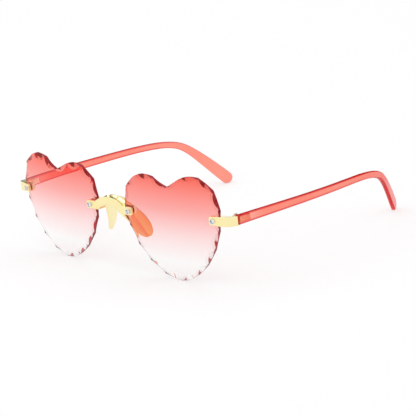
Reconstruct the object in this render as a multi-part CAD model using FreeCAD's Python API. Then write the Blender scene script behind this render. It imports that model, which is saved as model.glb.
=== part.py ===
"""Rimless heart shaped sunglasses: scalloped lenses, a cast bridge with nose pads, forked endpieces
and folding temples. Sizes in mm, angles in degrees, +X to the wearer's left, -Y to the front, +Z up."""
import FreeCAD, Part
import math
import os

Vector = FreeCAD.Vector
Rotation = FreeCAD.Rotation
Placement = FreeCAD.Placement

UP = Vector(0, 0, 1)
SIDE = Vector(1, 0, 0)
REAR = Vector(0, 1, 0)
ORIGIN = Vector(0, 0, 0)

# Heart outline of a lens
heart_width = 57.8
heart_height = 51.0
lobe_share = 0.2543
flank_radius = 39.5
toe_radius = 17.4
cleft_depth = 5.5
heart_cant = 2.5

# Lens blank and its stance
lens_thickness = 2.0
lens_curve_radius = 185.0
lens_gap = 20.9
lens_wrap = 4.6
lens_lean = 2.7

# Scallops ground into both faces along the edge
scallop_count = 18
scallop_reach = 2.2
scallop_depth = 0.6

# Lens bores and the screws through them
bore_inset = 3.3
bore_height = 6.42
bore_cant = 1.0
screw_radius = 0.65
screw_head_radius = 1.3
screw_head_height = 0.75
sleeve_wall = 0.35
nut_width = 2.6
nut_height = 0.9
nut_sides = 6

# Crystals set in the screw heads
crystal_radius = 0.98
crystal_crown = 0.3
crystal_pavilion = 0.5
crystal_sides = 8
crystal_table_share = 0.6

# Fits
seat_gap = 0.05
slip_gap = 0.03
hinge_gap = 0.25
knuckle_gap = 0.06
overrun = 4.0

# Tabs that grip the lenses
tab_thickness = 1.1
tab_height = 3.8
tab_reach = 2.0
tab_corner = 0.9

# Bridge
bridge_rise = 3.4
bridge_band = 3.5
bridge_top_radius = 15.5
bridge_under_radius = 9.7
scoop_width = 3.6
scoop_depth = 0.8

# Nose pads
pad_thickness = 1.5
pad_width = 8.6
pad_drop = 19.0
pad_back = 10.0
pad_out = 11.0
pad_toe = 22.0
pad_root_share = 0.38

# Endpieces
endpiece_height = 4.5
endpiece_thickness = 2.0
endpiece_drop = 0.8
elbow_radius = 3.6
elbow_overhang = 4.9
elbow_turn = 71.4
arm_length = 6.1

# Hinges
hinge_setback = 1.5
hinge_height = 4.0
barrel_radius = 1.0
knuckle_height = 1.5
hinge_screw_radius = 0.5
hinge_head_radius = 0.85
hinge_head_height = 0.35
hinge_slot_width = 0.3
web_length = 2.2
leaf_thickness = 0.8
leaf_length = 6.0
leaf_height = 2.6

# Temples
temple_height = 4.76
temple_lift = 0.27
temple_thickness = 2.4
temple_round = 0.8
shank_length = 101.3
shank_curl = 13.0
shank_sag = 2.9
ear_fall = 44.3
ear_turn = 33.0
ear_flare = 0.8
ear_arch = 1.1
bend_share = 0.69
waist_share = 0.735
paddle_share = 1.356
tip_thickness_share = 0.9
bar_steps = 30

# Where the pads are measured and how wide they are there, and where the temples' curve is steered
pad_shares = ((0.0, 0.6), (0.2, 0.88), (0.5, 1.0), (0.76, 0.96), (0.92, 0.7), (1.0, 0.3))
shank_shares = (0.12, 0.4, 0.66, 0.786)
ear_shares = (0.051, 0.375, 1.0)


def unit(vector):
    return vector * (1 / vector.Length)


def moved(shape, placement):
    copy = shape.copy()
    copy.Placement = placement.multiply(copy.Placement)
    return copy


def mirrored(shape):
    return shape.mirror(ORIGIN, SIDE)


def closed_face(edges):
    return Part.Face(Part.Wire(edges))


def arc(start, middle, end):
    return Part.Arc(start, middle, end).toShape()


def line(start, end):
    return Part.makeLine(start, end)


def arc_about(centre, start, end):
    """The short arc from start to end about a centre."""
    middle = centre + unit(start + end - centre * 2) * (start - centre).Length
    return arc(start, middle, end)


def rounded_wire(corners):
    """A closed wire from corners that are each rounded by a radius of their own."""
    edges = []
    runs = []
    for k, (point, radius) in enumerate(corners):
        before = unit(corners[k - 1][0] - point)
        after = unit(corners[(k + 1) % len(corners)][0] - point)
        half_angle = before.getAngle(after) / 2
        inset = radius / math.tan(half_angle)
        start = point + before * inset
        end = point + after * inset
        if radius:
            middle = point + unit(before + after) * (radius / math.sin(half_angle) - radius)
            edges.append(arc(start, middle, end))
        runs.append((start, end))
    for k, (start, _) in enumerate(runs):
        edges.append(line(runs[k - 1][1], start))
    return Part.Wire(Part.__sortEdges__(edges))


def rod(radius, start, end):
    """A cylinder from one point to another."""
    return Part.makeCylinder(radius, (end - start).Length, start, end - start)


def across(start, end, half_height):
    """A box from one corner in plan to the other, reaching half_height above and below them."""
    size = end - start
    return Part.makeBox(size.x, size.y, half_height * 2, start - UP * half_height)


def polygon(sides, radius, along, turn_share):
    """A regular polygon about the local front-to-rear axis."""
    step = 2 * math.pi / sides
    corners = []
    for k in range(sides + 1):
        angle = (k + turn_share) * step
        corners.append(Vector(radius * math.cos(angle), along, radius * math.sin(angle)))
    return Part.makePolygon(corners)


def heart_outline(grow):
    """The heart's edge, grown outward by a clearance, starting at the cleft."""
    lobe_radius = heart_width * lobe_share
    lobe = Vector(heart_width / 2 - lobe_radius, 0, heart_height / 2 - lobe_radius)
    toe = Vector(0, 0, toe_radius - heart_height / 2)
    cleft = Vector(0, 0, heart_height / 2 - cleft_depth)

    # The flank's circle touches the lobe's and the toe's from outside
    lobe_way = flank_radius - lobe_radius
    toe_way = flank_radius - toe_radius
    apart = toe - lobe
    along = (lobe_way ** 2 - toe_way ** 2 + apart.Length ** 2) / (2 * apart.Length)
    inward = unit(Vector(apart.z, 0, -apart.x))
    flank = lobe + unit(apart) * along + inward * math.sqrt(lobe_way ** 2 - along ** 2)
    hip = lobe + unit(lobe - flank) * (lobe_radius + grow)
    shin = toe + unit(toe - flank) * (toe_radius + grow)

    # A straight run from the cleft meets the lobe without a corner
    run = lobe - cleft
    slope = math.atan2(run.z, run.x) + math.asin(lobe_radius / run.Length)
    brow = lobe + Vector(-math.sin(slope), 0, math.cos(slope)) * (lobe_radius + grow)
    notch = cleft + UP * (grow / math.cos(slope))

    crown = lobe + unit(unit(brow - lobe) + unit(hip - lobe)) * (lobe_radius + grow)
    half = [line(notch, brow), arc(brow, crown, hip), arc_about(flank, hip, shin)]
    bottom = arc_about(toe, shin, Vector(-shin.x, 0, shin.z))
    other = [mirrored(edge) for edge in reversed(half)]
    wire = Part.Wire(half + [bottom] + other)
    wire.rotate(ORIGIN, REAR, -heart_cant)
    return wire


def lens_blank(gap):
    """The lens before grinding, thicker and wider by a clearance."""
    outline = heart_outline(gap)
    outline.translate(-REAR * overrun)
    prism = Part.Face(outline).extrude(REAR * (lens_thickness + overrun * 3))
    centre = REAR * lens_curve_radius
    front = Part.makeSphere(lens_curve_radius + lens_thickness / 2 + gap, centre)
    rear = Part.makeSphere(lens_curve_radius - lens_thickness / 2 - gap, centre)
    return prism.common(front).cut(rear)


def scallops():
    """The tilted cylinders that grind both faces from one cusp to the next."""
    centre = REAR * lens_curve_radius
    outline = heart_outline(0).discretize(Number=scallop_count + 1)
    slant = math.hypot(scallop_reach, scallop_depth)
    bite = scallop_depth * scallop_reach / slant
    cutters = []
    for face in (1, -1):
        face_radius = lens_curve_radius + face * lens_thickness / 2
        cusps = []
        for point in outline:
            away = math.sqrt(face_radius ** 2 - point.x ** 2 - point.z ** 2)
            cusps.append(Vector(point.x, lens_curve_radius - away, point.z))
        for start, end in zip(cusps[:-1], cusps[1:]):
            middle = (start + end) * 0.5
            proud = unit(middle - centre) * face
            outward = unit((end - start).cross(proud))
            if outward.dot(Vector(middle.x, 0, middle.z)) < 0:
                outward = -outward
            along = (outward * scallop_reach - proud * scallop_depth) * (1 / slant)
            lift = (proud * scallop_reach + outward * scallop_depth) * (1 / slant)
            half = (end - start).Length / 2
            radius = (half ** 2 + bite ** 2) / (2 * bite)
            heart = middle - proud * scallop_depth + lift * radius
            cutters.append(rod(radius, heart - along * (slant + overrun), heart + along * overrun))
    return cutters


def mount_in_lens(side):
    """The frame of a lens bore: local -Y leaves the lens's front face, local X runs away from its middle."""
    beside = side * (heart_width / 2 - bore_inset)
    flat = Vector(beside, 0, bore_height + beside * math.tan(math.radians(bore_cant)))
    away = math.sqrt(lens_curve_radius ** 2 - flat.x ** 2 - flat.z ** 2)
    point = Vector(flat.x, lens_curve_radius - away, flat.z)
    rear = unit(REAR * lens_curve_radius - point)
    across_lens = unit(rear.cross(UP))
    return Placement(point, Rotation(across_lens, rear, across_lens.cross(rear), "YXZ"))


def local_rod(radius, start, end):
    """A cylinder about the local front-to-rear axis."""
    return rod(radius, REAR * start, REAR * end)


# The lens and its bores stand in the part's frame by this placement
stance = Placement(SIDE * ((heart_width + lens_gap) / 2), Rotation(UP, lens_wrap)).multiply(
    Placement(ORIGIN, Rotation(SIDE, lens_lean)))
outer_mount = stance.multiply(mount_in_lens(1))
inner_mount = stance.multiply(mount_in_lens(-1))

half_lens = lens_thickness / 2
fork_half = half_lens + seat_gap + tab_thickness
sleeve_radius = screw_radius + slip_gap + sleeve_wall
bore_radius = sleeve_radius + slip_gap
screw_hole_radius = screw_radius + slip_gap

nodes = {}

# Lenses
lens = lens_blank(0)
for cutter in scallops():
    lens = lens.cut(cutter)
for side in (1, -1):
    bore = local_rod(bore_radius, -overrun, overrun)
    lens = lens.cut(moved(bore, mount_in_lens(side)))
nodes["lens_left"] = moved(lens, stance)
lens_room = moved(lens_blank(seat_gap), stance)
floor = nodes["lens_left"].optimalBoundingBox().ZMin

# Screws, crystals, sleeves and nuts of a lens mount, about the local front-to-rear axis
head_seat = -fork_half
head_face = head_seat - screw_head_height
girdle = head_face + crystal_crown / 2
screw_end = fork_half + nut_height
screw = local_rod(screw_head_radius, head_seat, head_face).fuse(local_rod(screw_radius, head_seat, screw_end))
cup_radius = crystal_radius + slip_gap
cup_floor = girdle + crystal_pavilion + slip_gap
cup = Part.makeCone(0, cup_radius, cup_floor - girdle, REAR * cup_floor, -REAR)
screw = screw.cut(cup).cut(local_rod(cup_radius, girdle, head_face - overrun))

crystal_table = crystal_radius * crystal_table_share
crown = Part.makeLoft([
    polygon(crystal_sides, crystal_table, girdle - crystal_crown, 0.5),
    polygon(crystal_sides, crystal_radius, girdle, 0.5),
], True, True)
pavilion = Part.makeLoft([
    polygon(crystal_sides, crystal_radius, girdle, 0.5),
    Part.Vertex(REAR * (girdle + crystal_pavilion)),
], True, True)
crystal = crown.fuse(pavilion)

sleeve = local_rod(sleeve_radius, -half_lens, half_lens).cut(local_rod(screw_hole_radius, -overrun, overrun))

nut_corner = nut_width / 2 / math.cos(math.pi / nut_sides)
nut = Part.Face(polygon(nut_sides, nut_corner, fork_half, 0.5)).extrude(REAR * nut_height)
nut = nut.cut(local_rod(screw_hole_radius, -overrun, screw_end + overrun))

for place, mount in (("outer", outer_mount), ("inner", inner_mount)):
    nodes[f"lens_screw_{place}_left"] = moved(screw, mount)
    nodes[f"crystal_{place}_left"] = moved(crystal, mount)
    nodes[f"lens_sleeve_{place}_left"] = moved(sleeve, mount)
    nodes[f"lens_nut_{place}_left"] = moved(nut, mount)

# What a tab loses to its screw, head and nut
screw_room = local_rod(screw_hole_radius, -fork_half - overrun, fork_half + overrun)
head_room = local_rod(screw_head_radius + seat_gap, head_seat, head_seat - overrun)
nut_room = local_rod(nut_corner + seat_gap, fork_half, fork_half + overrun)
tab_loss = screw_room.fuse(head_room).fuse(nut_room)

# Bridge: one band seen from the front, rising from tab to tab
inner_bore = inner_mount.Base
tab_end = inner_bore.x + tab_reach
tab_top = inner_bore.z + tab_height / 2
tab_foot = inner_bore.z - tab_height / 2
crest = tab_top + bridge_rise
arch = crest - bridge_band
shoulder = math.sqrt(bridge_top_radius ** 2 - (bridge_top_radius - bridge_rise) ** 2)
armpit = math.sqrt(bridge_under_radius ** 2 - (bridge_under_radius - arch + tab_foot) ** 2)
front_face = inner_bore.y - fork_half
rear_face = inner_bore.y + fork_half


def on_front(x, z):
    return Vector(x, front_face, z)


band = [
    arc(on_front(-shoulder, tab_top), on_front(0, crest), on_front(shoulder, tab_top)),
    arc(on_front(armpit, tab_foot), on_front(0, arch), on_front(-armpit, tab_foot)),
]
for side in (1, -1):
    upper = on_front(side * (tab_end - tab_corner), tab_top)
    upper_end = on_front(side * tab_end, tab_top - tab_corner)
    lower_end = on_front(side * tab_end, tab_foot + tab_corner)
    lower = on_front(side * (tab_end - tab_corner), tab_foot)
    band.append(line(on_front(side * shoulder, tab_top), upper))
    band.append(arc_about(on_front(upper.x, upper_end.z), upper, upper_end))
    band.append(line(upper_end, lower_end))
    band.append(arc_about(on_front(lower.x, lower_end.z), lower_end, lower))
    band.append(line(lower, on_front(side * armpit, tab_foot)))
bridge = closed_face(Part.__sortEdges__(band)).extrude(REAR * (rear_face - front_face))

# The scoop along the bridge's top
scoop_round = ((scoop_width / 2) ** 2 + scoop_depth ** 2) / (2 * scoop_depth)
scoop_path = bridge_top_radius + scoop_round - scoop_depth
scoop_axis = Vector(0, (front_face + rear_face) / 2, crest - bridge_top_radius)
scoop = Part.makeTorus(scoop_path, scoop_round, scoop_axis, REAR)
scoop = scoop.common(Part.makeBox(
    shoulder * 2, rear_face - front_face, bridge_rise + overrun, Vector(-shoulder, front_face, tab_top)))
bridge = bridge.cut(scoop)


def pad_section(share, width_share):
    """An oval across a nose pad, at a share of the way from its root to its toe."""
    root = Vector(armpit * pad_root_share, inner_bore.y, crest - bridge_band / 2)
    way = Vector(pad_out, pad_back, -pad_drop)
    sweep = math.sin(share * math.pi / 2)
    point = root + Vector(way.x * share, way.y * sweep, way.z * share)
    heading = unit(Vector(way.x, way.y * math.cos(share * math.pi / 2) * math.pi / 2, way.z))
    blade = Rotation(UP, -pad_toe).multVec(REAR)
    thin = unit(heading.cross(blade))
    wide = thin.cross(heading)
    oval = Part.Ellipse(
        point + wide * (pad_width * width_share / 2),
        point + thin * (pad_thickness / 2),
        point)
    return Part.Wire(oval.toShape())


pad = Part.makeLoft([pad_section(share, width_share) for share, width_share in pad_shares], True)
bridge = bridge.fuse([pad, mirrored(pad)])
bridge_loss = lens_room.fuse(moved(tab_loss, inner_mount))
nodes["bridge"] = bridge.cut([bridge_loss, mirrored(bridge_loss)])

# Endpiece: seen from above it grips the lens, turns its corner and runs back to the hinge
outward = outer_mount.Rotation.multVec(SIDE)
yaw = math.degrees(math.atan2(outward.y, outward.x))
plan = Placement(outer_mount.Base, Rotation(UP, yaw))
turn = math.radians(elbow_turn)
arm_way = Vector(math.cos(turn), math.sin(turn), 0)
arm_out = Vector(math.sin(turn), -math.cos(turn), 0)
half_height = endpiece_height / 2
elbow = Vector(bore_inset + elbow_overhang, -fork_half, 0)
arm_end = elbow + arm_way * arm_length
arm_inner = arm_end - arm_out * endpiece_thickness
crook = arm_inner - arm_way * ((arm_inner.y - fork_half) / arm_way.y)
drop_slope = endpiece_drop / (arm_end.y + fork_half)
plan_corners = [
    (Vector(-tab_reach, -fork_half, 0), 0), (elbow, elbow_radius), (arm_end, 0),
    (arm_inner, 0), (crook, 0), (Vector(-tab_reach, fork_half, 0), 0)]
sloped = [(point - UP * ((point.y + fork_half) * drop_slope), radius) for point, radius in plan_corners]
endpiece = Part.Face(rounded_wire(sloped)).extrude(UP * endpiece_height)
endpiece.translate(-UP * half_height)

# Seen from the front its prongs narrow to a rounded end
end_half = tab_height / 2
prong_half = half_height + overrun
flare_reach = bore_inset + seat_gap * 2
front_corners = [
    (-tab_reach, -end_half, tab_corner), (-tab_reach, end_half, tab_corner),
    (flare_reach, half_height, 0), (flare_reach, prong_half, 0), (arm_end.x + overrun, prong_half, 0),
    (arm_end.x + overrun, -prong_half, 0), (flare_reach, -prong_half, 0), (flare_reach, -half_height, 0)]
flare = rounded_wire([(Vector(x, -fork_half - overrun, z), radius) for x, z, radius in front_corners])
endpiece = endpiece.common(Part.Face(flare).extrude(REAR * (arm_end.y + fork_half + overrun * 2)))

# The hinge frame: local X leaves the temple's inner face outward, local Y runs along the temple
face_out = barrel_radius + hinge_gap
pivot = arm_inner - arm_out * face_out + arm_way * hinge_setback - UP * endpiece_drop
hinge = plan.multiply(Placement(pivot, Rotation(UP, elbow_turn - 90)))
knuckle_half = knuckle_height / 2
hinge_half = hinge_height / 2

# Endpiece knuckles stand above and below the temple's, each on a tie from the arm
endpiece = moved(endpiece, plan).cut(lens_room).cut(moved(tab_loss, outer_mount))
tie_end = -hinge_setback - web_length
for low, high in ((knuckle_half + knuckle_gap, hinge_half), (-hinge_half, -knuckle_half - knuckle_gap)):
    barrel = rod(barrel_radius, UP * low, UP * high)
    tie = Part.makeBox(barrel_radius, -tie_end, high - low, Vector(0, tie_end, low))
    root = Part.makeBox(face_out + endpiece_thickness / 2, web_length, high - low, Vector(0, tie_end, low))
    endpiece = endpiece.fuse([moved(piece, hinge) for piece in (barrel, tie, root)])
pin_room = rod(hinge_screw_radius + slip_gap, -UP * (hinge_half + overrun), UP * (hinge_half + overrun))
nodes["endpiece_left"] = endpiece.cut(moved(pin_room, hinge)).removeSplitter()

# Hinge screw, slotted in its head
head_top = hinge_half + hinge_head_height
hinge_screw = rod(hinge_screw_radius, -UP * hinge_half, UP * hinge_half)
hinge_screw = hinge_screw.fuse(rod(hinge_head_radius, UP * hinge_half, UP * head_top))
slot = across(
    Vector(-overrun, -hinge_slot_width / 2, head_top), Vector(overrun, hinge_slot_width / 2, head_top),
    hinge_head_height / 2)
nodes["hinge_screw_left"] = moved(hinge_screw.cut(slot), hinge)

# Hinge leaf, let into the temple's inner face
leaf = rod(barrel_radius, -UP * knuckle_half, UP * knuckle_half)
leaf = leaf.fuse(across(ORIGIN, Vector(face_out + leaf_thickness, web_length, 0), knuckle_half))
plate_start = Vector(face_out, 0, 0)
plate_end = Vector(face_out + leaf_thickness, leaf_length, 0)
leaf = leaf.fuse(across(plate_start, plate_end, leaf_height / 2))
nodes["hinge_leaf_left"] = moved(leaf.cut(pin_room).removeSplitter(), hinge)

# Temple: a rounded bar along a curve from the hinge to the ear, whose round tip stands on the floor
bar_start = Vector(face_out + temple_thickness / 2, knuckle_gap - hinge_setback, temple_lift)
corner = bar_start + Vector(-shank_curl, shank_length, -shank_sag)
fall = math.radians(ear_fall)
turn_in = math.radians(ear_turn)
ear_way = Vector(-math.sin(turn_in) * math.cos(fall), math.cos(turn_in) * math.cos(fall), -math.sin(fall))
tip_radius = temple_height * paddle_share / 2
tip_height = floor - hinge.Base.z + tip_radius
tip = corner + ear_way * ((tip_height - corner.z) / ear_way.z)
poles = [bar_start]
for share in shank_shares:
    sag = (share - shank_shares[0]) / (1 - shank_shares[0])
    poles.append(bar_start + Vector(-shank_curl * share * sag, shank_length * share, -shank_sag * sag))
for share in ear_shares:
    bulge = 4 * share * (1 - share)
    poles.append(corner + (tip - corner) * share + Vector(ear_flare, 0, ear_arch) * bulge)
path = Part.BSplineCurve()
path.buildFromPoles(poles, False, 3)


def ease(share):
    return (1 - math.cos(math.pi * share)) / 2


def bar_frame(share):
    """A point of the temple's curve, with the ways along, across and up the bar there."""
    place = path.parameterAtDistance(path.length() * share, path.FirstParameter)
    heading = unit(Vector(*path.tangent(place)[0]))
    thick = unit(heading.cross(UP))
    return path.value(place), heading, thick, thick.cross(heading)


def half_thickness(share):
    return temple_thickness * (1 + (tip_thickness_share - 1) * ease(share)) / 2


def bar_section(share):
    """A rounded rectangle across the temple at a share of its length."""
    if share < bend_share:
        height_share = 1 + (waist_share - 1) * math.sin(math.pi / 2 * share / bend_share)
    else:
        height_share = waist_share + (paddle_share - waist_share) * ease((share - bend_share) / (1 - bend_share))
    point, _, thick, tall = bar_frame(share)
    half_thick = thick * half_thickness(share)
    half_tall = tall * (temple_height * height_share / 2)
    corners = [half_thick + half_tall, half_thick - half_tall, -half_thick - half_tall, half_tall - half_thick]
    return rounded_wire([(point + corner, temple_round) for corner in corners])


temple = Part.makeLoft([bar_section(step / bar_steps) for step in range(bar_steps + 1)], True)

# Its tip is the far half of a disc with rounded rims
tip_point, tip_heading, tip_across, _ = bar_frame(1)
half_tip = tip_across * half_thickness(1)
disc = rod(tip_radius, tip_point - half_tip, tip_point + half_tip)
disc = disc.makeFillet(temple_round, [edge for edge in disc.Edges if len(edge.Vertexes) == 1])
beyond = Part.makeBox(tip_radius * 4, tip_radius * 4, tip_radius * 2, Vector(-tip_radius * 2, -tip_radius * 2, 0))
beyond.Placement = Placement(tip_point, Rotation(UP, tip_heading))
temple = temple.fuse(disc.common(beyond)).removeSplitter()
leaf_room = across(
    plate_start - Vector(overrun, slip_gap, 0), plate_end + Vector(slip_gap, slip_gap, 0),
    leaf_height / 2 + slip_gap)
nodes["temple_left"] = moved(temple.cut(leaf_room), hinge)

# The right side mirrors the left, and the part stands centred on the floor
for name in list(nodes):
    if name.endswith("_left"):
        nodes[name.replace("_left", "_right")] = mirrored(nodes[name])
box = Part.makeCompound(list(nodes.values())).optimalBoundingBox()
shift = Vector(0, -box.Center.y, -box.ZMin)
os.makedirs("parts", exist_ok=True)
for name, shape in nodes.items():
    shape.translate(shift)
    shape.exportStep(f"parts/{name}.step")
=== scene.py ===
"""Looks of the heart shaped sunglasses: gradient lenses, pale cast gold, clear coral temples, set crystals.
Lengths in metres in the part's own frame, +X to the wearer's left, -Y to the front, +Z up."""
import math

import bpy
from mathutils import Matrix, Vector

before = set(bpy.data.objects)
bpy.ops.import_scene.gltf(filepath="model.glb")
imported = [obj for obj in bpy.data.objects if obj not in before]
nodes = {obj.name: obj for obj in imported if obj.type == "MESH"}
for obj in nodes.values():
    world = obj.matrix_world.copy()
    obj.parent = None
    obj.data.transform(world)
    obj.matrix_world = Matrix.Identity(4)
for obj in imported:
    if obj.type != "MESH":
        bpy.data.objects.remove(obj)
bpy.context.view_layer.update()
scene = bpy.context.scene
scene.view_settings.view_transform = "Standard"

MM = 0.001
WHITE = (1.0, 1.0, 1.0, 1.0)
WHITE_STRENGTH = 1.0

# Sockets of the mix nodes, which share their names with others
MIX_FIRST = 6
MIX_SECOND = 7
MIX_RESULT = 2
SHADER_FIRST = 1
SHADER_SECOND = 2

# Camera
camera_target = Vector((2.24, -7.31, 14.30)) * MM
camera_azimuth = math.radians(46.213)
camera_elevation = math.radians(15.93)
camera_roll = math.radians(-6.008)
camera_distance = 926.6 * MM
camera_lens = 160.99
camera_sensor = 36.0

# Floor, which turns pure white away from the part
floor_half = 4.0
floor_corners = ((-1, -1), (1, -1), (1, 1), (-1, 1))
floor_drop = 0.02 * MM
floor_albedo = (0.97, 0.97, 0.97, 1.0)
floor_glow_share = 0.6
floor_fade_start = 0.2
floor_fade_end = 0.9

# Key light
key_size = 0.9
key_place = Vector((-0.35, -0.25, 1.0))
key_power = 2.2

# Dark studio wall: the way to it, then its sides as cosines from there and its height as sines of elevation
studio_way = (-0.7, 0.71, 0.0)
studio_edge = 0.25
studio_heart = 0.6
studio_foot = 0.112
studio_band = 0.124
studio_top = 0.45
studio_ceiling = 0.7
studio_colour = (0.10, 0.075, 0.05, 1.0)

# Noise: the part of its range that is used, and its detail
noise_low = 0.3
noise_high = 0.7
soft_detail = 2.0
fine_detail = 3.0
cloud_detail = 4.0

# Where light counts as kept inside a clear piece, by the share that its surface turns back
kept_from = 0.6
kept_full = 0.95

# Cosines between two directions where a surface begins to count as turned, and where it fully does
turn_from = 0.97
turn_full = 0.85

# Rays that find the nearby edges of a piece
round_samples = 6

# Lens stance, as built
lens_beside = 39.35 * MM
lens_rear = -67.31 * MM
lens_height = 25.42 * MM
lens_curve = 185.0 * MM
lens_wrap = math.radians(4.6)
lens_lean = math.radians(2.7)

# Lens plastic
lens_ior = 1.5
lens_rough = (0.0, 0.035)
lens_fine_scale = 900.0
lens_wave_scale = 60.0
lens_wave_strength = 0.02
lens_wave_depth = 0.1 * MM
lens_flash = (1.0, 0.35, 0.38, 1.0)
lens_edge_clarity = 0.1
shade_line_radius = 0.45 * MM

# Lens tints by height, from the clear toe to the brow: the faces' own dye, then painted shade on the ground
# edge and on the line where they meet
tint_low = 10.0 * MM
tint_high = 51.0 * MM
face_stops = (
    (0.0, WHITE),
    (0.3, (0.99, 0.75, 0.75, 1.0)),
    (0.62, (0.985, 0.41, 0.385, 1.0)),
    (1.0, (0.98, 0.15, 0.10, 1.0)),
)
edge_shade_stops = (
    (0.0, (0.20, 0.03, 0.04, 1.0)),
    (0.3, (0.30, 0.012, 0.025, 1.0)),
    (0.6, (0.34, 0.005, 0.015, 1.0)),
    (1.0, (0.32, 0.003, 0.012, 1.0)),
)
shade_line_stops = (
    (0.0, (0.26, 0.10, 0.12, 1.0)),
    (0.3, (0.40, 0.05, 0.08, 1.0)),
    (1.0, (0.45, 0.02, 0.04, 1.0)),
)

# Painted shade by height for where light is kept inside the lens: faces and ground edge
kept_face_shade_stops = (
    (0.0, (0.95, 0.45, 0.45, 1.0)),
    (0.12, (0.95, 0.02, 0.04, 1.0)),
    (0.5, (0.75, 0.003, 0.02, 1.0)),
    (1.0, (0.55, 0.002, 0.015, 1.0)),
)
kept_edge_shade_stops = (
    (0.0, (0.10, 0.04, 0.05, 1.0)),
    (0.3, (0.38, 0.02, 0.03, 1.0)),
    (1.0, (0.40, 0.002, 0.012, 1.0)),
)

# Cast gold, whose edges catch light as rounded ones do
gold_colours = ((0.97, 0.83, 0.42, 1.0), (0.98, 0.87, 0.48, 1.0))
gold_rough = (0.08, 0.17)
gold_cloud_scale = 140.0
gold_fine_scale = 2200.0
gold_grain_strength = 0.05
gold_grain_depth = 0.05 * MM
gold_round = 0.25 * MM

# Nose pads: a painted reflection of the red lens, warmer and deeper to the rear on the side away from the
# nose
pad_front = -66.5 * MM
pad_full = -63.0 * MM
pad_rear = -52.0 * MM
pad_turn_from = 0.1
pad_turn_full = 0.5
pad_reflection_warm = (0.96, 0.54, 0.20, 1.0)
pad_reflection_deep = (0.92, 0.27, 0.08, 1.0)

# Temple plastic
temple_ior = 1.49
temple_colours = ((1.0, 0.48, 0.40, 1.0), (1.0, 0.58, 0.50, 1.0))
temple_rough = (0.02, 0.09)
temple_flow_scale = 45.0
temple_fine_scale = 1500.0
temple_flow_strength = 0.04
temple_flow_depth = 0.2 * MM
temple_flash = (1.0, 0.45, 0.45, 1.0)
temple_kept_shade = (1.0, 0.08, 0.09, 1.0)
temple_dye = (0.985, 0.3, 0.12, 1.0)
temple_dye_density = 340.0
temple_film = (0.9, 0.4, 0.36, 1.0)

# Pale length of the temple by the hinge
temple_front = -57.0 * MM
temple_full = -42.0 * MM
temple_pale = (1.0, 0.93, 0.91, 1.0)

# Painted shade on the rims of the temple's bar and ear: tints, and how steep a surface has to look up or
# down to be one
ear_start = 30.0 * MM
ear_end = 52.0 * MM
bar_rim_shade = (0.76, 0.06, 0.08, 1.0)
bar_rim_from = 0.08
bar_rim_full = 0.45
ear_rim_shade = (0.84, 0.10, 0.12, 1.0)
ear_rim_from = 0.4
ear_rim_full = 0.75
outline_blend = 0.5
outline_from = 0.35
outline_full = 0.75

# Crystals
crystal_colours = ((0.86, 0.91, 0.98, 1.0), (0.93, 0.96, 1.0, 1.0))
crystal_rough = (0.05, 0.12)
crystal_scale = 3000.0
crystal_ior = 1.6

# Sleeves
sleeve_colours = ((0.93, 0.93, 0.93, 1.0), (0.99, 0.99, 0.99, 1.0))
sleeve_rough = (0.05, 0.15)
sleeve_scale = 2500.0
sleeve_ior = 1.46
sleeve_film = (0.95, 0.95, 0.95, 1.0)

# Screws, nuts and hinges
steel_colours = ((0.72, 0.72, 0.74, 1.0), (0.86, 0.86, 0.88, 1.0))
steel_rough = (0.12, 0.28)
hinge_colours = ((0.95, 0.86, 0.64, 1.0), (0.98, 0.9, 0.7, 1.0))
hinge_rough = (0.2, 0.35)
metal_scale = 900.0
metal_grain_strength = 0.05
metal_grain_depth = 0.03 * MM


def add(tree, kind, inputs, **settings):
    """A node with its settings, whose inputs are numbers, colours or other nodes' outputs."""
    made = tree.nodes.new(kind)
    for name, value in settings.items():
        setattr(made, name, value)
    for key, value in inputs.items():
        if isinstance(value, bpy.types.NodeSocket):
            tree.links.new(value, made.inputs[key])
        else:
            made.inputs[key].default_value = value
    return made


def empty_material(name):
    material = bpy.data.materials.new(name)
    material.use_nodes = True
    material.node_tree.nodes.clear()
    return material, material.node_tree


def set_output(tree, surface, volume=None):
    out = add(tree, "ShaderNodeOutputMaterial", {"Surface": surface})
    if volume is not None:
        tree.links.new(volume, out.inputs["Volume"])


def maths(tree, operation, *values):
    return add(tree, "ShaderNodeMath", dict(enumerate(values)), operation=operation).outputs["Value"]


def vector_maths(tree, operation, *vectors):
    return add(tree, "ShaderNodeVectorMath", dict(enumerate(vectors)), operation=operation).outputs["Vector"]


def vector_measure(tree, operation, *vectors):
    return add(tree, "ShaderNodeVectorMath", dict(enumerate(vectors)), operation=operation).outputs["Value"]


def split(tree, vector):
    return add(tree, "ShaderNodeSeparateXYZ", {"Vector": vector}).outputs


def coordinates(tree):
    return add(tree, "ShaderNodeTexCoord", {}).outputs


def rays(tree):
    return add(tree, "ShaderNodeLightPath", {}).outputs


def surface_facts(tree):
    return add(tree, "ShaderNodeNewGeometry", {}).outputs


def remap(tree, value, low, high, to_low=0.0, to_high=1.0):
    made = add(tree, "ShaderNodeMapRange", {
        "Value": value, "From Min": low, "From Max": high, "To Min": to_low, "To Max": to_high})
    return made.outputs["Result"]


def blend(tree, share, first, second):
    """A number that goes from the first to the second as a share rises from 0 to 1."""
    return remap(tree, share, 0.0, 1.0, first, second)


def left_over(tree, share):
    return blend(tree, share, 1.0, 0.0)


def blend_colours(tree, share, first, second):
    made = add(tree, "ShaderNodeMix", {
        "Factor": share, MIX_FIRST: first, MIX_SECOND: second}, data_type="RGBA")
    return made.outputs[MIX_RESULT]


def blend_shaders(tree, share, first, second):
    made = add(tree, "ShaderNodeMixShader", {"Fac": share, SHADER_FIRST: first, SHADER_SECOND: second})
    return made.outputs["Shader"]


def ramp(tree, share, stops):
    made = add(tree, "ShaderNodeValToRGB", {"Fac": share})
    elements = made.color_ramp.elements
    elements[0].position, elements[0].color = stops[0]
    elements[1].position, elements[1].color = stops[-1]
    for place, colour in stops[1:-1]:
        elements.new(place).color = colour
    return made.outputs["Color"]


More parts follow.
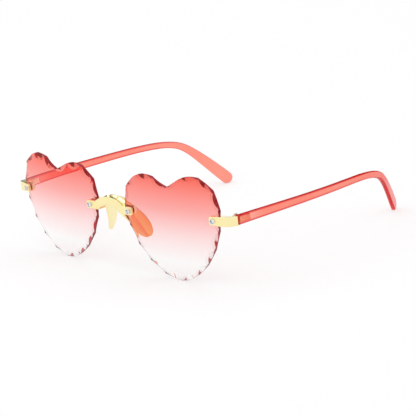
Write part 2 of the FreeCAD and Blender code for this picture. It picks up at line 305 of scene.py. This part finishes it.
def noise(tree, place, scale, detail):
    made = add(tree, "ShaderNodeTexNoise", {"Vector": place, "Scale": scale, "Detail": detail})
    return made.outputs["Fac"]


def wander(tree, cloud, ends):
    """A number that follows the noise from one end to the other."""
    return remap(tree, cloud, noise_low, noise_high, *ends)


def wander_colours(tree, cloud, colours):
    return ramp(tree, cloud, tuple(zip((noise_low, noise_high), colours)))


def bump(tree, height, strength, distance, normal=None):
    made = add(tree, "ShaderNodeBump", {"Height": height, "Strength": strength, "Distance": distance})
    if normal is not None:
        tree.links.new(normal, made.inputs["Normal"])
    return made.outputs["Normal"]


def rounded_normal(tree, radius):
    return add(tree, "ShaderNodeBevel", {"Radius": radius}, samples=round_samples).outputs["Normal"]


def turned(tree, first, second):
    """Where two directions part, as a share from 0 to 1."""
    agreement = maths(tree, "ABSOLUTE", vector_measure(tree, "DOT_PRODUCT", first, second))
    return remap(tree, agreement, turn_from, turn_full)


def kept_inside(tree, ior):
    """Where a clear piece turns light back inside; there its dye is painted on at full depth as an opaque
    colour, painted shade in place of the light kept inside.
    """
    glance = add(tree, "ShaderNodeFresnel", {"IOR": ior}).outputs["Fac"]
    kept = remap(tree, glance, kept_from, kept_full)
    return maths(tree, "MULTIPLY", kept, surface_facts(tree)["Backfacing"])


def clear_to_lamps(tree, surface, colour):
    """Lets light from lamps pass a clear piece, tinted."""
    film = add(tree, "ShaderNodeBsdfTransparent", {"Color": colour})
    return blend_shaders(tree, rays(tree)["Is Shadow Ray"], surface, film.outputs["BSDF"])


def lens_material(name, side):
    material, tree = empty_material(name)
    place = coordinates(tree)["Object"]
    rise = remap(tree, split(tree, place)["Z"], tint_low, tint_high)

    # The ground edge is where the surface turns away from the lens's own curve; it is painted a dark red,
    # painted shade for how dark the edge looks
    to_centre = Vector((0.0, math.cos(lens_lean), math.sin(lens_lean))) * lens_curve
    to_centre.rotate(Matrix.Rotation(lens_wrap, 3, "Z"))
    centre = Vector((lens_beside, lens_rear, lens_height)) + to_centre
    centre.x *= side
    radial = vector_maths(tree, "NORMALIZE", vector_maths(tree, "SUBTRACT", place, centre))
    edge = turned(tree, radial, coordinates(tree)["Normal"])
    # Painted shade: the ground edge takes a dark red in place of the faces' dye
    tint = blend_colours(tree, edge, ramp(tree, rise, face_stops), ramp(tree, rise, edge_shade_stops))

    # A painted dark line, painted shade, runs wherever the faces meet the edge and the facets meet each
    # other
    shade_line = turned(tree, rounded_normal(tree, shade_line_radius), surface_facts(tree)["Normal"])
    tint = blend_colours(tree, shade_line, tint, ramp(tree, rise, shade_line_stops))

    # Where light would be kept inside, the surface is painted a deep opaque red: painted shade in place of
    # that light
    kept = kept_inside(tree, lens_ior)
    kept_shade_tint = blend_colours(
        tree, edge, ramp(tree, rise, kept_face_shade_stops), ramp(tree, rise, kept_edge_shade_stops))
    clarity = maths(
        tree, "MULTIPLY", left_over(tree, kept), blend(tree, edge, 1.0, lens_edge_clarity))

    fine = noise(tree, place, lens_fine_scale, fine_detail)
    wave = noise(tree, place, lens_wave_scale, soft_detail)
    glass = add(tree, "ShaderNodeBsdfPrincipled", {
        "Base Color": blend_colours(tree, kept, tint, kept_shade_tint),
        "Roughness": wander(tree, fine, lens_rough),
        "IOR": lens_ior,
        "Specular Tint": lens_flash,
        "Transmission Weight": clarity,
        "Normal": bump(tree, wave, lens_wave_strength, lens_wave_depth)})
    set_output(tree, clear_to_lamps(tree, glass.outputs["BSDF"], tint))
    return material


def paint_pad_reflection(tree, place, colour):
    """Paints the red lens's reflection onto the gold of the pads' outer faces, which look away from the
    nose, as a warmer and deeper orange.
    """
    spot = split(tree, place)
    side = maths(tree, "SIGN", spot["X"])
    outward = maths(tree, "MULTIPLY", split(tree, coordinates(tree)["Normal"])["X"], side)
    outer = remap(tree, outward, pad_turn_from, pad_turn_full)
    behind = remap(tree, spot["Y"], pad_front, pad_full)
    along = remap(tree, spot["Y"], pad_full, pad_rear)
    painted_reflection_gold = ramp(tree, along, ((0.0, pad_reflection_warm), (1.0, pad_reflection_deep)))
    return blend_colours(tree, maths(tree, "MULTIPLY", outer, behind), colour, painted_reflection_gold)


def gold_material(name, has_pads):
    material, tree = empty_material(name)
    place = coordinates(tree)["Object"]
    cloud = noise(tree, place, gold_cloud_scale, cloud_detail)
    fine = noise(tree, place, gold_fine_scale, fine_detail)
    colour = wander_colours(tree, cloud, gold_colours)
    # The pads get a painted reflection of the red lens
    if has_pads:
        colour = paint_pad_reflection(tree, place, colour)
    rounded = rounded_normal(tree, gold_round)
    metal = add(tree, "ShaderNodeBsdfPrincipled", {
        "Base Color": colour,
        "Metallic": 1.0,
        "Roughness": wander(tree, cloud, gold_rough),
        "Normal": bump(tree, fine, gold_grain_strength, gold_grain_depth, rounded)})
    set_output(tree, metal.outputs["BSDF"])
    return material


def temple_material(name):
    material, tree = empty_material(name)
    place = coordinates(tree)["Object"]
    along = split(tree, place)["Y"]
    flow = noise(tree, place, temple_flow_scale, soft_detail)
    fine = noise(tree, place, temple_fine_scale, fine_detail)
    colour = wander_colours(tree, flow, temple_colours)

    # The colour turns paler towards the hinge
    pale = remap(tree, along, temple_front, temple_full, 1.0, 0.0)
    colour = blend_colours(tree, pale, colour, temple_pale)

    # Painted shade: rounded edges and outlines are painted a deep red, for the dark that they show by
    # refraction
    ear = remap(tree, along, ear_start, ear_end)
    tilt = maths(tree, "ABSOLUTE", split(tree, coordinates(tree)["Normal"])["Z"])
    rim_from = blend(tree, ear, bar_rim_from, ear_rim_from)
    rim_full = blend(tree, ear, bar_rim_full, ear_rim_full)
    glance = add(tree, "ShaderNodeLayerWeight", {"Blend": outline_blend}).outputs["Facing"]
    outline_shade = remap(tree, glance, outline_from, outline_full)
    rim_shade = maths(tree, "MAXIMUM", remap(tree, tilt, rim_from, rim_full), outline_shade)
    rim_shade_tint = ramp(tree, ear, ((0.0, bar_rim_shade), (1.0, ear_rim_shade)))
    colour = blend_colours(tree, rim_shade, colour, rim_shade_tint)

    # Where light would be kept inside, the temple is painted an opaque deep red: painted shade in place of
    # that light
    kept = kept_inside(tree, temple_ior)
    plastic = add(tree, "ShaderNodeBsdfPrincipled", {
        "Base Color": blend_colours(tree, kept, colour, temple_kept_shade),
        "Roughness": wander(tree, fine, temple_rough),
        "IOR": temple_ior,
        "Specular Tint": temple_flash,
        "Transmission Weight": left_over(tree, kept),
        "Normal": bump(tree, flow, temple_flow_strength, temple_flow_depth)})
    depth = add(tree, "ShaderNodeVolumeAbsorption", {"Color": temple_dye, "Density": temple_dye_density})
    surface = clear_to_lamps(tree, plastic.outputs["BSDF"], temple_film)
    set_output(tree, surface, depth.outputs["Volume"])
    return material


def clear_material(name, colours, rough, scale, ior, film=None):
    """A clear piece, which lets lamps through where it has a film colour."""
    material, tree = empty_material(name)
    fine = noise(tree, coordinates(tree)["Object"], scale, soft_detail)
    clear = add(tree, "ShaderNodeBsdfPrincipled", {
        "Base Color": wander_colours(tree, fine, colours),
        "Roughness": wander(tree, fine, rough),
        "Transmission Weight": 1.0,
        "IOR": ior})
    surface = clear.outputs["BSDF"]
    if film is not None:
        surface = clear_to_lamps(tree, surface, film)
    set_output(tree, surface)
    return material


def metal_material(name, colours, rough):
    material, tree = empty_material(name)
    cloud = noise(tree, coordinates(tree)["Object"], metal_scale, cloud_detail)
    metal = add(tree, "ShaderNodeBsdfPrincipled", {
        "Base Color": wander_colours(tree, cloud, colours),
        "Metallic": 1.0,
        "Roughness": wander(tree, cloud, rough),
        "Normal": bump(tree, cloud, metal_grain_strength, metal_grain_depth)})
    set_output(tree, metal.outputs["BSDF"])
    return material


# Materials of the built nodes, by how their names begin
steel = metal_material("screw_steel", steel_colours, steel_rough)
looks = {
    "lens_left": lens_material("lens_tint_left", 1),
    "lens_right": lens_material("lens_tint_right", -1),
    "bridge": gold_material("cast_gold_pads", True),
    "endpiece": gold_material("cast_gold", False),
    "temple": temple_material("clear_coral"),
    "crystal": clear_material("cut_crystal", crystal_colours, crystal_rough, crystal_scale, crystal_ior),
    "lens_sleeve": clear_material(
        "clear_sleeve", sleeve_colours, sleeve_rough, sleeve_scale, sleeve_ior, sleeve_film),
    "lens_screw": steel,
    "lens_nut": steel,
    "hinge": metal_material("hinge_gold", hinge_colours, hinge_rough),
}
for name, node in nodes.items():
    for start, look in looks.items():
        if name.startswith(start):
            node.material_slots[0].material = look

# Floor
floor_mesh = bpy.data.meshes.new("floor")
floor_places = [(x * floor_half, y * floor_half, -floor_drop) for x, y in floor_corners]
floor_mesh.from_pydata(floor_places, [], [(0, 1, 2, 3)])
floor = bpy.data.objects.new("floor", floor_mesh)
scene.collection.objects.link(floor)
material, tree = empty_material("floor_paper")
paper = add(tree, "ShaderNodeBsdfDiffuse", {"Color": floor_albedo})
glow = add(tree, "ShaderNodeEmission", {"Color": WHITE, "Strength": WHITE_STRENGTH})
ray = rays(tree)
seen = maths(tree, "MAXIMUM", ray["Is Camera Ray"], ray["Is Glossy Ray"])
seen = maths(tree, "MAXIMUM", seen, ray["Is Transmission Ray"])
reach = vector_measure(tree, "LENGTH", coordinates(tree)["Object"])
fade = remap(tree, reach, floor_fade_start, floor_fade_end, floor_glow_share, 1.0)
share = maths(tree, "MULTIPLY", seen, fade)
set_output(tree, blend_shaders(tree, share, paper.outputs["BSDF"], glow.outputs["Emission"]))
floor_mesh.materials.append(material)

# World: a white studio with one dark wall above the backdrop, which shows in polished metal
world = bpy.data.worlds.new("studio")
world.use_nodes = True
scene.world = world
tree = world.node_tree
tree.nodes.clear()
way = coordinates(tree)["Generated"]
height = split(tree, way)["Z"]
toward = vector_measure(tree, "DOT_PRODUCT", way, studio_way)
beside = remap(tree, toward, studio_edge, studio_heart)
above = remap(tree, height, studio_foot, studio_band)
below = remap(tree, height, studio_top, studio_ceiling, 1.0, 0.0)
dark = maths(tree, "MULTIPLY", maths(tree, "MULTIPLY", above, below), beside)
dark = maths(tree, "MULTIPLY", dark, left_over(tree, rays(tree)["Is Transmission Ray"]))
sky = ramp(tree, dark, ((0.0, WHITE), (1.0, studio_colour)))
background = add(tree, "ShaderNodeBackground", {"Color": sky, "Strength": WHITE_STRENGTH})
add(tree, "ShaderNodeOutputWorld", {"Surface": background.outputs["Background"]})

# Key light
key_data = bpy.data.lights.new("key", "AREA")
key_data.shape = "SQUARE"
key_data.size = key_size
key_data.energy = key_power
key = bpy.data.objects.new("key", key_data)
key.location = key_place
key.rotation_euler = (-key_place).to_track_quat("-Z", "Y").to_euler()
scene.collection.objects.link(key)

# Camera
back = Vector((
    math.sin(camera_azimuth) * math.cos(camera_elevation),
    -math.cos(camera_azimuth) * math.cos(camera_elevation),
    math.sin(camera_elevation)))
right = Vector((math.cos(camera_azimuth), math.sin(camera_azimuth), 0.0))
up = back.cross(right)
roll = Matrix.Rotation(camera_roll, 3, back)
right.rotate(roll)
up.rotate(roll)
camera_data = bpy.data.cameras.new("camera")
camera_data.sensor_width = camera_sensor
camera_data.lens = camera_lens
camera = bpy.data.objects.new("camera", camera_data)
pose = Matrix((right, up, back)).transposed().to_4x4()
pose.translation = camera_target + back * camera_distance
camera.matrix_world = pose
scene.collection.objects.link(camera)
scene.camera = camera
